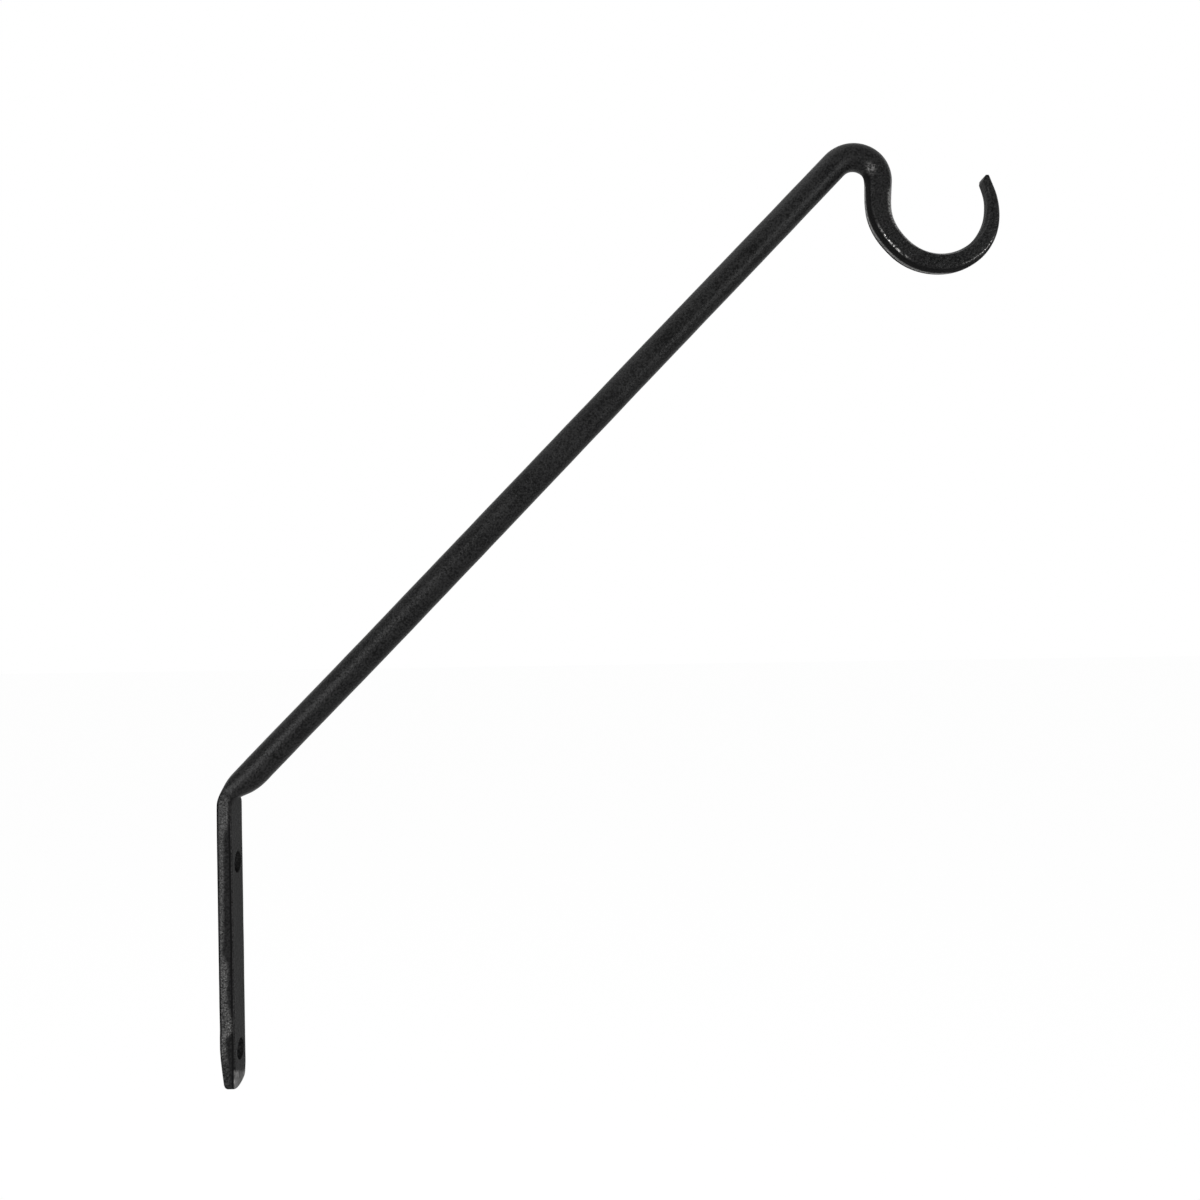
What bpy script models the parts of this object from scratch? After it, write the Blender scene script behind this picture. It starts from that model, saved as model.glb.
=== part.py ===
"""A wrought iron wall bracket, forged from one length of round bar.

The lower end is hammered flat and stands against the wall, with two screw holes through it.
The arm rises at a slope to a tight bend, where the bar turns down and opens into a hook.
Metres, +Z up, +X away from the wall. The origin is on the wall face, midway between the holes.
"""

import math

import bmesh
import bpy
import numpy as np

# The flat strap that is screwed to the wall
STRAP_WIDTH = 0.016
STRAP_THICK = 0.0065
STRAP_BACK_EDGE = 0.0008
STRAP_FRONT_EDGE = 0.0016

# Its free end, bowed out in the middle, drawn thinner, beveled in front and rounded off
END_BOW = 0.0016
END_TAPER_LENGTH = 0.0170
END_TAPER_DEPTH = 0.0017
END_BEVEL_LENGTH = 0.0070
END_BEVEL_DEPTH = 0.0005
END_ROUND_LENGTH = 0.0020
END_ROUND_BACK = 0.0012
END_ROUND_FRONT = 0.0004
END_ROUND_SIDE = 0.0004
END_CURVE = 1.5

# Its two holes
HOLE_DIAMETER = 0.009
HOLE_EDGE_BREAK = 0.0004
HOLE_SPACING = 0.080
LOWER_HOLE_TO_END = 0.0142
UPPER_HOLE_TO_BEND = 0.0242

# The bend out of the strap: its shoulders, where the bar goes back to its round section, and the
# crease in front, which rises towards both sides
FOOT_RADIUS = 0.0189
FOOT_SHOULDER_START = 0.0010
FOOT_SHOULDER_END = 0.0085
FOOT_SHOULDER_STEPS = 12
FOOT_CREASE_RISE = 0.0027
FOOT_CREASE_ARCH = 0.0015
FOOT_FLARE_LENGTH = 0.0110
FOOT_FLARE_SWELL = 0.0011

# The round arm
ARM_SLOPE = 45.47
BAR_AT_FOOT = 0.0121
BAR_AT_TOP = 0.0118
REACH = 0.3112

# The tight bend at the top: its radius on the outside, and the turn at which it is thinnest
TOP_RADIUS = 0.01705
TOP_THICK = 0.0114
TOP_THIN_TURN = 90.0

# The neck, where the round bar gets its flat sides
NECK_LENGTH = 0.0100
NECK_LEAN = 3.2
NECK_PROUD = -0.0009
NECK_THICK = 0.0105
NECK_WIDTH = 0.0115

# The open hook: its radius and turn on the inside, and its section at four turns
BOWL_RADIUS = 0.02065
BOWL_TURN = 204.5
SIDE_TURN = 45.0
SIDE_PROUD = 0.0012
SIDE_THICK = 0.0084
SIDE_WIDTH = 0.0115
FLOOR_TURN = 90.0
FLOOR_END_TURN = 130.0
FLOOR_PROUD = 0.0016
FLOOR_THICK = 0.0080
FLOOR_WIDTH = 0.0105
LIMB_TURN = 180.0
LIMB_PROUD = 0.0013
LIMB_THICK = 0.0056
LIMB_WIDTH = 0.0091
HOOK_FLATNESS = 0.9
LIMB_FLATNESS = 0.7
HOOK_INNER_BEVEL_DEPTH = 0.0012
HOOK_INNER_BEVEL_WIDTH = 0.0025
HOOK_OUTER_EDGE = 0.0009
HOOK_CROWN = 0.0012

# The end of the hook, cut on the slant, with its outer and inner corners rounded off
TIP_LENGTH = 0.0044
TIP_THICK = 0.0037
TIP_WIDTH = 0.0078
TIP_SLANT = 31.0
TIP_FLATNESS = 0.8
TIP_EDGE = 0.0008
TIP_CROWN = 0.0006
TIP_EDGE_BREAK = 0.0004
TIP_ROUND_LENGTH = 0.0010
TIP_ROUND_OUTER = 0.0010
TIP_ROUND_INNER = 0.0005

# What the hammer left: two rows of leaning blows on each side of the strap, which meet in a low
# ridge that wanders, and shallow hollows on the outside of the hook
STRAP_SIDE_LEAN = 7.0
STRAP_BLOW_PITCH = 0.016
STRAP_BLOW_DEPTH = 0.00012
RIDGE_WANDER = 0.22
RIDGE_WAVE = 0.037
RIDGE_OFFSET = 0.16
HOOK_BLOW_PITCH = 0.015
HOOK_BLOW_DEPTH = 0.00015
HOOK_BLOW_SLANT = 0.3
STRUCK_SIDE = 0.8

# How finely the surface is divided
SIDE_STEPS = 3
EDGE_STEPS = 2
STRAP_STEP = 0.0040
FLARE_STEPS = 7
ARM_STEP = 0.030
BEND_STEP = 6.0
TIP_STEPS = 3
CLOSEST_SECTIONS = 0.0006
HOLE_SIDES = 40
DRILL_OVERRUN = 0.003
SHARP_ANGLE = 20.0
FLAT_COSINE = 0.999999

COAT_COLOUR = (0.021, 0.021, 0.022, 1.0)
COAT_ROUGHNESS = 0.42
COAT_METALLIC = 0.0


def clear_scene():
    """Take every object out of the open scene."""
    for thing in list(bpy.data.objects):
        bpy.data.objects.remove(thing, do_unlink=True)


def lay_path():
    """The back line of the bar from the strap's end to the hook's tip, as lengths and curvatures.

    It follows the wall face, the arm's upper side, the outside of the top bend and the inside of
    the hook, so every thickness is measured from it towards the other side of the bar.
    """
    slope = math.radians(ARM_SLOPE)
    lean = math.radians(NECK_LEAN)
    foot_turn = math.pi / 2 - slope
    across_foot = FOOT_RADIUS * (1 - math.cos(foot_turn))
    across_top = TOP_RADIUS * (math.sin(slope) + math.cos(lean))
    across_hook = BOWL_RADIUS * math.cos(lean) - NECK_LENGTH * math.sin(lean)
    arm_length = (REACH - across_foot - across_top - across_hook) / math.cos(slope)
    strap_length = LOWER_HOLE_TO_END + HOLE_SPACING + UPPER_HOLE_TO_BEND
    return {
        "strap": (strap_length, 0.0),
        "foot": (FOOT_RADIUS * foot_turn, -1 / FOOT_RADIUS),
        "arm": (arm_length, 0.0),
        "top": (TOP_RADIUS * (math.pi / 2 + slope + lean), -1 / TOP_RADIUS),
        "neck": (NECK_LENGTH, 0.0),
        "bowl": (BOWL_RADIUS * math.radians(BOWL_TURN), 1 / BOWL_RADIUS),
        "tip": (TIP_LENGTH, 0.0),
    }


def stretch_starts(path):
    """How far along the bar each stretch starts, and where the last one ends."""
    starts = {}
    run = 0.0
    for name, (length, _) in path.items():
        starts[name] = run
        run += length
    starts["end"] = run
    return starts


def follow(path, distance):
    """Point and heading of the back line at this distance from the strap's end."""
    x = 0.0
    z = -HOLE_SPACING / 2 - LOWER_HOLE_TO_END
    heading = math.pi / 2
    for length, curvature in path.values():
        run = min(distance, length)
        if curvature:
            turned = heading + curvature * run
            x += (math.sin(turned) - math.sin(heading)) / curvature
            z -= (math.cos(turned) - math.cos(heading)) / curvature
            heading = turned
        else:
            x += run * math.cos(heading)
            z += run * math.sin(heading)
        distance -= run
        if distance <= 0:
            break
    return x, z, heading


def flare_end(starts):
    """Where the bar is round again above the foot."""
    return starts["arm"] + FOOT_FLARE_LENGTH


def section_distances(path, starts):
    """Where the sections are taken: close together where the bar changes, far apart on the arm."""
    rows = [0.0, END_ROUND_LENGTH / 3, END_ROUND_LENGTH, END_BEVEL_LENGTH, END_TAPER_LENGTH]
    spacing = {
        "strap": STRAP_STEP,
        "arm": ARM_STEP,
        "neck": STRAP_STEP,
        "tip": TIP_LENGTH / TIP_STEPS,
    }
    for name, (length, curvature) in path.items():
        step = spacing.get(name) or math.radians(BEND_STEP) / abs(curvature)
        count = max(2, round(length / step))
        rows += list(starts[name] + np.linspace(0, length, count + 1))
    rows += list(np.linspace(starts["arm"], flare_end(starts) + STRAP_STEP, FLARE_STEPS))
    rows += list(starts["foot"] + np.linspace(0, FOOT_SHOULDER_END, FOOT_SHOULDER_STEPS + 1))
    rows += [starts["end"] - TIP_ROUND_LENGTH, starts["end"] - TIP_ROUND_LENGTH / 3]
    rows = np.unique(np.round(rows, 6))
    keep = np.concatenate([[True], np.diff(rows) > CLOSEST_SECTIONS])
    keep[-1] = True
    return rows[keep]


def eased(at, places, values):
    """Values between stations on a smooth curve that never overshoots them."""
    places = np.asarray(places, float)
    values = np.asarray(values, float)
    slopes = np.diff(values) / np.diff(places)
    tangents = np.zeros(len(values))
    same_way = slopes[:-1] * slopes[1:] > 0
    total = np.where(same_way, slopes[:-1] + slopes[1:], 1.0)
    tangents[1:-1] = np.where(same_way, 2 * slopes[:-1] * slopes[1:] / total, 0.0)
    k = np.clip(np.searchsorted(places, at) - 1, 0, len(slopes) - 1)
    gap = places[k + 1] - places[k]
    t = np.clip((at - places[k]) / gap, 0, 1)
    rise = (3 - 2 * t) * t * t
    start = t * (1 - t) ** 2
    end = -(1 - t) * t * t
    blend = values[k] * (1 - rise) + values[k + 1] * rise
    return blend + gap * (tangents[k] * start + tangents[k + 1] * end)


def section_stations(starts):
    """Sizes of the section at chosen distances along the bar.

    Each row is distance, how far the section stands inside the back line, thickness, width,
    flatness from 0 for round to 1 for a flat bar, the back edge's depth, width and roundness, the
    front edge and the crown.
    """
    strap_edges = (STRAP_BACK_EDGE, STRAP_BACK_EDGE, 1.0, STRAP_FRONT_EDGE, 0.0)
    bevel = (HOOK_INNER_BEVEL_DEPTH, HOOK_INNER_BEVEL_WIDTH, 0.0)
    hook_edges = (*bevel, HOOK_OUTER_EDGE, HOOK_CROWN)
    strap = (0.0, STRAP_THICK, STRAP_WIDTH, 1.0, *strap_edges)
    foot = (0.0, BAR_AT_FOOT, BAR_AT_FOOT, 0.0, *strap_edges)
    bar = (0.0, BAR_AT_TOP, BAR_AT_TOP, 0.0, *hook_edges)
    top = (0.0, TOP_THICK, BAR_AT_TOP, 0.0, *hook_edges)
    neck = (NECK_PROUD, NECK_THICK, NECK_WIDTH, HOOK_FLATNESS, *hook_edges)
    side = (SIDE_PROUD, SIDE_THICK, SIDE_WIDTH, HOOK_FLATNESS, *hook_edges)
    floor = (FLOOR_PROUD, FLOOR_THICK, FLOOR_WIDTH, HOOK_FLATNESS, *hook_edges)
    limb = (LIMB_PROUD, LIMB_THICK, LIMB_WIDTH, LIMB_FLATNESS, *hook_edges)
    tip_edges = (TIP_EDGE, TIP_EDGE, 1.0, TIP_EDGE, TIP_CROWN)
    tip = (0.0, TIP_THICK, TIP_WIDTH, TIP_FLATNESS, *tip_edges)

    def top_at(turn):
        return starts["top"] + TOP_RADIUS * math.radians(turn)

    def bowl_at(turn):
        return starts["bowl"] + BOWL_RADIUS * math.radians(turn)

    return [
        (0.0, *strap),
        (starts["foot"] + FOOT_SHOULDER_START, *strap),
        (starts["foot"] + FOOT_SHOULDER_END, *foot),
        (flare_end(starts), *foot),
        (starts["top"], *bar),
        (top_at(TOP_THIN_TURN), *top),
        (starts["bowl"] - NECK_LENGTH / 3, *neck),
        (bowl_at(SIDE_TURN), *side),
        (bowl_at(FLOOR_TURN), *floor),
        (bowl_at(FLOOR_END_TURN), *floor),
        (bowl_at(LIMB_TURN), *limb),
        (starts["end"], *tip),
    ]


def foot_thickness(path, starts, distance, across):
    """Thickness at the foot: up to the strap's front, or past the crease to the underside."""
    x, z, heading = follow(path, distance)
    normal_x = math.sin(heading)
    normal_z = -math.cos(heading)
    arch = FOOT_CREASE_ARCH * (across / (STRAP_WIDTH / 2)) ** 2
    crease_z = follow(path, starts["foot"])[1] + FOOT_CREASE_RISE + arch
    full_x, full_z, full_heading = follow(path, flare_end(starts))
    full_x += BAR_AT_FOOT * math.sin(full_heading)
    full_z -= BAR_AT_FOOT * math.cos(full_heading)
    to_strap = (STRAP_THICK - x) / normal_x
    run_x = full_x - STRAP_THICK
    run_z = full_z - crease_z
    divider = normal_x * run_z - normal_z * run_x
    to_under = ((STRAP_THICK - x) * run_z - (crease_z - z) * run_x) / divider
    hit_x = x + to_under * normal_x
    share = np.clip((hit_x - STRAP_THICK) / run_x, 0, 1)
    swell = FOOT_FLARE_SWELL * math.sin(math.pi * share)
    return max(to_strap, to_under + swell)


def arch_crease(points, path, starts, distance, thick):
    """Give a section at the foot its own thickness at each place across, so the crease arches."""
    out = points.copy()
    for k, (depth, across) in enumerate(points):
        out[k, 0] = depth * foot_thickness(path, starts, distance, across) / thick
    return out


def run_between(steps):
    """The places between 0 and 1 that divide the way into this many steps."""
    return np.linspace(0, 1, steps + 1)[1:-1]


def quadrant(half_thick, half_wide, edge_deep, edge_wide, roundness):
    """A quarter of the flat section, from the middle of its face past one edge to its side.

    The edge is an arc where its roundness is 1, and a plain bevel where that is 0.
    """
    run = np.linspace(0, 1, SIDE_STEPS + 1)
    inner_thick = half_thick - edge_deep
    inner_wide = half_wide - edge_wide
    out = [(half_thick, inner_wide * t) for t in run]
    for t in run_between(EDGE_STEPS):
        deep = roundness * math.cos(t * math.pi / 2) + (1 - roundness) * (1 - t)
        across = roundness * math.sin(t * math.pi / 2) + (1 - roundness) * t
        out.append((inner_thick + edge_deep * deep, inner_wide + edge_wide * across))
    out += [(inner_thick * (1 - t), half_wide) for t in run]
    return np.array(out)


def section(thick, wide, flat, back_deep, back_wide, back_round, front_edge, crown):
    """Points round the bar as pairs: depth from its back, and place across from the middle."""
    body = thick - crown * flat
    front = quadrant(body / 2, wide / 2, front_edge, front_edge, 1.0)
    back = quadrant(body / 2, wide / 2, back_deep, back_wide, back_round)
    angle = np.linspace(0, math.pi / 2, len(front))
    oval = np.stack([np.cos(angle) * thick / 2, np.sin(angle) * wide / 2], axis=1)
    quarters = []
    for flat_quarter, round_quarter, depth_sign, across_sign in (
        (front, oval, 1, 1),
        (back[::-1], oval[::-1], -1, 1),
        (back, oval, -1, -1),
        (front[::-1], oval[::-1], 1, -1),
    ):
        lift = crown * np.clip(1 - (flat_quarter[:, 1] / (wide / 2)) ** 2, 0, 1)
        flat_depth = depth_sign * flat_quarter[:, 0] + body / 2 + lift * (depth_sign > 0)
        round_depth = depth_sign * round_quarter[:, 0] + thick / 2
        depth = flat * flat_depth + (1 - flat) * round_depth
        across = across_sign * (flat * flat_quarter[:, 1] + (1 - flat) * round_quarter[:, 1])
        quarters.append(np.stack([depth, across], axis=1)[:-1])
    return np.concatenate(quarters)


def hollow(along, pitch):
    """Depth of a hammer mark, from 0 on the ridge between two blows to 1 in the middle of one."""
    return abs(math.sin(math.pi * along / pitch))


def lean_sides(points, distance, starts):
    """Give each side of the strap its two leaning rows of blows, and the ridge between them."""
    fade_in = np.clip(distance / END_BEVEL_LENGTH, 0, 1)
    fade_out = np.clip((starts["arm"] - distance) / STRAP_BLOW_PITCH, 0, 1)
    fade = fade_in * fade_out
    if fade == 0:
        return points
    out = points.copy()
    middle = STRAP_THICK / 2
    fall_rate = math.tan(math.radians(STRAP_SIDE_LEAN))
    for k, (depth, across) in enumerate(points):
        side = math.copysign(1, across)
        wave = math.sin(2 * math.pi * (distance / RIDGE_WAVE + side * RIDGE_OFFSET))
        to_ridge = STRAP_THICK * RIDGE_WANDER * wave * fade
        if abs(across) > (STRAP_WIDTH - STRAP_BACK_EDGE) / 2:
            depth += to_ridge * max(0.0, 1 - abs(depth - middle) / middle)
        from_ridge = depth - middle - to_ridge
        along = distance + (STRAP_BLOW_PITCH / 2 if from_ridge > 0 else 0.0)
        fall = abs(from_ridge) * fall_rate + STRAP_BLOW_DEPTH * hollow(along, STRAP_BLOW_PITCH)
        out[k] = depth, side * min(abs(across), STRAP_WIDTH / 2 - fall * fade)
    return out


def hammer_hook(points, distance, starts, thick):
    """Press the hammer's shallow hollows into the outside of the hook."""
    pressed = HOOK_BLOW_DEPTH * np.clip((distance - starts["neck"]) / HOOK_BLOW_PITCH, 0, 1)
    out = points.copy()
    for k, (depth, across) in enumerate(points):
        if depth > STRUCK_SIDE * thick:
            along = distance + HOOK_BLOW_SLANT * across
            out[k, 0] -= pressed * hollow(along, HOOK_BLOW_PITCH)
    return out


def rounding(to_end, length):
    """How far a rounded corner has turned in: 0 where it begins, 1 at the end of the bar."""
    return 1 - math.sqrt(1 - np.clip(1 - to_end / length, 0, 1) ** 2)


def shape_strap_end(points, distance):
    """Draw the strap's end thinner, round it off at its corners, and bevel its front."""
    if distance >= END_TAPER_LENGTH:
        return points
    out = points.copy()
    turn = rounding(distance, END_ROUND_LENGTH)
    taper = END_TAPER_DEPTH * (1 - distance / END_TAPER_LENGTH) ** END_CURVE
    bevel = END_BEVEL_DEPTH * max(0.0, 1 - distance / END_BEVEL_LENGTH) ** END_CURVE
    middle = STRAP_THICK / 2
    low = points[:, 0] < middle
    share = np.clip(abs(points[:, 0] - middle) / middle, 0, 1)
    out[low, 0] += (taper + END_ROUND_BACK * turn) * share[low]
    out[~low, 0] -= (bevel + END_ROUND_FRONT * turn) * share[~low]
    out[:, 1] *= 1 - END_ROUND_SIDE * turn / (STRAP_WIDTH / 2)
    return out


def round_tip(points, to_end, thick):
    """Round off the outer and inner corners of the hook's end."""
    turn = rounding(to_end, TIP_ROUND_LENGTH)
    share = 2 * points[:, 0] / thick - 1
    reach = np.where(share > 0, TIP_ROUND_OUTER, TIP_ROUND_INNER)
    out = points.copy()
    out[:, 0] -= turn * reach * share
    return out


def section_in_space(path, starts, distance, sizes):
    """One section of the bar, placed on the path."""
    proud, thick, wide, *shape = sizes
    at_foot = starts["foot"] < distance < flare_end(starts)
    if at_foot:
        thick = foot_thickness(path, starts, distance, 0.0)
    points = section(thick, wide, *shape)
    if at_foot:
        points = arch_crease(points, path, starts, distance, thick)
    points = lean_sides(points, distance, starts)
    points = hammer_hook(points, distance, starts, thick)
    points = round_tip(points, starts["end"] - distance, thick)
    points = shape_strap_end(points, distance) - (proud, 0.0)
    x, z, heading = follow(path, distance)
    into_tip = np.clip((distance - starts["tip"]) / TIP_LENGTH, 0, 1)
    slant = math.tan(math.radians(TIP_SLANT)) * into_tip * points[:, 0]
    near_end = np.clip(1 - distance / END_TAPER_LENGTH, 0, 1) ** 2
    bow = END_BOW * near_end * np.clip(1 - (points[:, 1] / (STRAP_WIDTH / 2)) ** 2, 0, 1)
    along = slant - bow
    out_x = x + points[:, 0] * math.sin(heading) + along * math.cos(heading)
    out_z = z - points[:, 0] * math.cos(heading) + along * math.sin(heading)
    return np.stack([out_x, points[:, 1], out_z], axis=1)


def close_strap_end(solid, loop):
    """Close the strap's end with narrow faces that run from its front to its wall side."""
    half = len(loop) // 2
    last = SIDE_STEPS + EDGE_STEPS - 1
    for side in (1, -1):
        for k in range(last):
            corners = (k, k + 1, half - k - 1, half - k)
            solid.faces.new([loop[side * corner] for corner in corners])
        solid.faces.new([loop[side * corner] for corner in range(last, half - last + 1)])


def close_tip(solid, loop, before):
    """Close the hook's end with its cut face, whose edges are slightly broken."""
    middle = sum((v.co for v in loop), loop[0].co * 0) / len(loop)
    outward = sum((b.co - a.co for a, b in zip(before, loop)), loop[0].co * 0).normalized()
    inner = []
    for v in loop:
        inward = (middle - v.co).normalized()
        inner.append(solid.verts.new(v.co + (inward + outward) * TIP_EDGE_BREAK))
    skin_between(solid, loop, inner)
    solid.faces.new(inner)


def skin_between(solid, low, high):
    """A band of faces from one closed loop of points to the next."""
    for k in range(len(low)):
        n = (k + 1) % len(low)
        solid.faces.new((low[k], low[n], high[n], high[k]))


def join_flats(solid):
    """Make the strap's wall face one flat face, and its front another."""
    solid.normal_update()
    flat = [face for face in solid.faces if abs(face.normal.x) > FLAT_COSINE]
    bmesh.ops.dissolve_faces(solid, faces=flat, use_verts=False)


def forge_bar():
    """The whole forging as one closed mesh, before its holes are made."""
    path = lay_path()
    starts = stretch_starts(path)
    rows = section_distances(path, starts)
    stations = np.array(section_stations(starts))
    places = stations[:, 0]
    sizes = np.stack([eased(rows, places, column) for column in stations.T[1:]], axis=1)
    solid = bmesh.new()
    loops = []
    for distance, row in zip(rows, sizes):
        points = section_in_space(path, starts, distance, row)
        loops.append([solid.verts.new(point) for point in points])
    for low, high in zip(loops, loops[1:]):
        skin_between(solid, low, high)
    close_strap_end(solid, loops[0])
    close_tip(solid, loops[-1], loops[-2])
    bmesh.ops.recalc_face_normals(solid, faces=solid.faces)
    join_flats(solid)
    mesh = bpy.data.meshes.new("bracket")
    solid.to_mesh(mesh)
    solid.free()
    return mesh


def hole_drill(name, height):
    """A drill for one screw hole, turned from a profile that opens out at both mouths."""
    radius = HOLE_DIAMETER / 2
    mouth = radius + HOLE_EDGE_BREAK + DRILL_OVERRUN
    profile = [
        (-DRILL_OVERRUN, 0.0),
        (-DRILL_OVERRUN, mouth),
        (HOLE_EDGE_BREAK, radius),
        (STRAP_THICK - HOLE_EDGE_BREAK, radius),
        (STRAP_THICK + DRILL_OVERRUN, mouth),
        (STRAP_THICK + DRILL_OVERRUN, 0.0),
    ]
    turned = bmesh.new()
    points = [turned.verts.new((depth, size, height)) for depth, size in profile]
    line = [turned.edges.new(pair) for pair in zip(points, points[1:])]
    bmesh.ops.spin(
        turned,
        geom=points + line,
        cent=(0.0, 0.0, height),
        axis=(1.0, 0.0, 0.0),
        angle=2 * math.pi,
        steps=HOLE_SIDES,
        use_merge=True,
    )
    bmesh.ops.remove_doubles(turned, verts=turned.verts, dist=HOLE_EDGE_BREAK / 10)
    bmesh.ops.recalc_face_normals(turned, faces=turned.faces)
    mesh = bpy.data.meshes.new(name)
    turned.to_mesh(mesh)
    turned.free()
    drill = bpy.data.objects.new(name, mesh)
    bpy.context.scene.collection.objects.link(drill)
    drill.hide_render = True
    drill.display_type = "WIRE"
    return drill


def black_coat():
    """Black satin coat over forged steel."""
    coat = bpy.data.materials.new("black_coat")
    coat.use_nodes = True
    shader = coat.node_tree.nodes["Principled BSDF"]
    shader.inputs["Base Color"].default_value = COAT_COLOUR
    shader.inputs["Roughness"].default_value = COAT_ROUGHNESS
    shader.inputs["Metallic"].default_value = COAT_METALLIC
    return coat


def make_bracket():
    """The finished bracket, with its holes and its coat."""
    mesh = forge_bar()
    mesh.materials.append(black_coat())
    mesh.shade_smooth()
    mesh.set_sharp_from_angle(angle=math.radians(SHARP_ANGLE))
    bracket = bpy.data.objects.new("bracket", mesh)
    bpy.context.scene.collection.objects.link(bracket)
    for name, height in (("lower", -HOLE_SPACING / 2), ("upper", HOLE_SPACING / 2)):
        cut = bracket.modifiers.new(name + "_hole", "BOOLEAN")
        cut.object = hole_drill(name + "_hole_drill", height)
        cut.operation = "DIFFERENCE"
        cut.solver = "EXACT"
    return bracket


def main():
    clear_scene()
    make_bracket()


main()
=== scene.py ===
# %% [markdown]
# # A black wrought iron wall bracket
# A smith makes this bracket from one length of round bar. One end is hammered flat into a strap
# with two screw holes. The bar then rises at a slope, turns down in a tight bend and opens into
# a hook. Everything here is that one forging, its black coat and the light it stands in.

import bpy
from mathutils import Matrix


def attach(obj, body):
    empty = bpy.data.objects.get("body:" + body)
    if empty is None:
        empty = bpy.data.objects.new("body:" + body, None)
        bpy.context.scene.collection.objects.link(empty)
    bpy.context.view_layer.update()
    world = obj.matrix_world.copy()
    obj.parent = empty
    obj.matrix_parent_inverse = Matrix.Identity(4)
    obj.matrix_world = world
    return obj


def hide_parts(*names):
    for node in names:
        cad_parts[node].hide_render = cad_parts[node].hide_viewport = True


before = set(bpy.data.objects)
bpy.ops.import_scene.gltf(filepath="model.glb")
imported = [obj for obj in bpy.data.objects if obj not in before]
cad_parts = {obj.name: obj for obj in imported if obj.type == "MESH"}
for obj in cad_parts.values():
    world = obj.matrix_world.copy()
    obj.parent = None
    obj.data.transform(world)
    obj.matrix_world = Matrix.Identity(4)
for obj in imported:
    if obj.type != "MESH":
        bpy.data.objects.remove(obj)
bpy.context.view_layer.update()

# %% Modules
import math

import bmesh
import bpy
import numpy as np
from mathutils import Vector, noise

print("Blender", bpy.app.version_string)

# %% [markdown]
# ## The camera
# The photograph was taken square to the plane in which the bracket is bent, from half a metre
# away. A strong perspective shows the front of the strap on the left, and the left flank of the
# hook on the right. Placing the camera first means that every later step can be judged by eye.

# %% Camera
CAMERA_PLACE = Vector((0.16325, -0.518, 0.1497))
CAMERA_SENSOR, CAMERA_LENS = 36.0, 36.3
CAMERA_TILT = 0.87

camera_data = bpy.data.cameras.new("camera")
camera_data.sensor_width = CAMERA_SENSOR
camera_data.lens = CAMERA_LENS
camera = bpy.data.objects.new("camera", camera_data)
bpy.context.scene.collection.objects.link(camera)
camera.location = CAMERA_PLACE
camera.rotation_euler = (math.radians(90), math.radians(CAMERA_TILT), 0)
bpy.context.scene.camera = camera
print("camera at", list(CAMERA_PLACE))

# %% [markdown]
# ## The line of the bar
# A bent bar is easiest to describe as a smith would: so much straight, then a bend of this
# radius, then straight again. A curve drawn by hand would do as well, but here one changed bend
# carries all that follows along with it. Each stretch gets a length and a curvature. The line
# runs along one side of the bar, the side that lies on the wall and later bears the load inside
# the hook.

# %% Sizes of the bends
HOLE_SPACING = 0.080
LOWER_HOLE_TO_END = 0.0142
UPPER_HOLE_TO_BEND = 0.0242
FOOT_RADIUS = 0.0189
ARM_SLOPE = math.radians(45.47)
REACH = 0.3112
TOP_RADIUS = 0.01705
NECK_LENGTH = 0.0100
NECK_LEAN = math.radians(3.2)
BOWL_RADIUS = 0.02065
BOWL_TURN = math.radians(204.5)
TIP_LENGTH = 0.0044

foot_turn = math.pi / 2 - ARM_SLOPE
across_foot = FOOT_RADIUS * (1 - math.cos(foot_turn))
across_top = TOP_RADIUS * (math.sin(ARM_SLOPE) + math.cos(NECK_LEAN))
across_hook = BOWL_RADIUS * math.cos(NECK_LEAN) - NECK_LENGTH * math.sin(NECK_LEAN)
arm_length = (REACH - across_foot - across_top - across_hook) / math.cos(ARM_SLOPE)
print("arm length", round(arm_length, 4))

# %% Stretches of the bar, each with its length and curvature
STRETCHES = {
    "strap": (LOWER_HOLE_TO_END + HOLE_SPACING + UPPER_HOLE_TO_BEND, 0.0),
    "foot": (FOOT_RADIUS * foot_turn, -1 / FOOT_RADIUS),
    "arm": (arm_length, 0.0),
    "top": (TOP_RADIUS * (math.pi / 2 + ARM_SLOPE + NECK_LEAN), -1 / TOP_RADIUS),
    "neck": (NECK_LENGTH, 0.0),
    "bowl": (BOWL_RADIUS * BOWL_TURN, 1 / BOWL_RADIUS),
    "tip": (TIP_LENGTH, 0.0),
}
starts = {}
bar_length = 0.0
for name, (length, _) in STRETCHES.items():
    starts[name] = bar_length
    bar_length += length
print("bar length along its back", round(bar_length, 4))


# %% Points along the line
def follow(distances):
    """Place and heading of the back line at each distance from the strap's end."""
    left = np.array(distances, float)
    x = np.zeros_like(left)
    z = np.full_like(left, -HOLE_SPACING / 2 - LOWER_HOLE_TO_END)
    heading = np.full_like(left, math.pi / 2)
    for length, curvature in STRETCHES.values():
        run = np.clip(left, 0, length)
        if curvature:
            turned = heading + curvature * run
            x += (np.sin(turned) - np.sin(heading)) / curvature
            z -= (np.cos(turned) - np.cos(heading)) / curvature
            heading = turned
        else:
            x += run * np.cos(heading)
            z += run * np.sin(heading)
        left = left - run
    return x, z, heading


print("the arm begins at", [round(float(value[0]), 4) for value in follow([starts["arm"]])[:2]])

# %% [markdown]
# ## The section of the bar
# The bar's section changes all the way: flat at the strap, round on the arm, flattened on both
# sides at the hook. A curve with a bevel has only one section, so the skin is worked out here
# from its own sections. Sizes are given at a few stations and eased between them with a curve
# that never overshoots, so the surface flows as drawn-out iron does.

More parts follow.
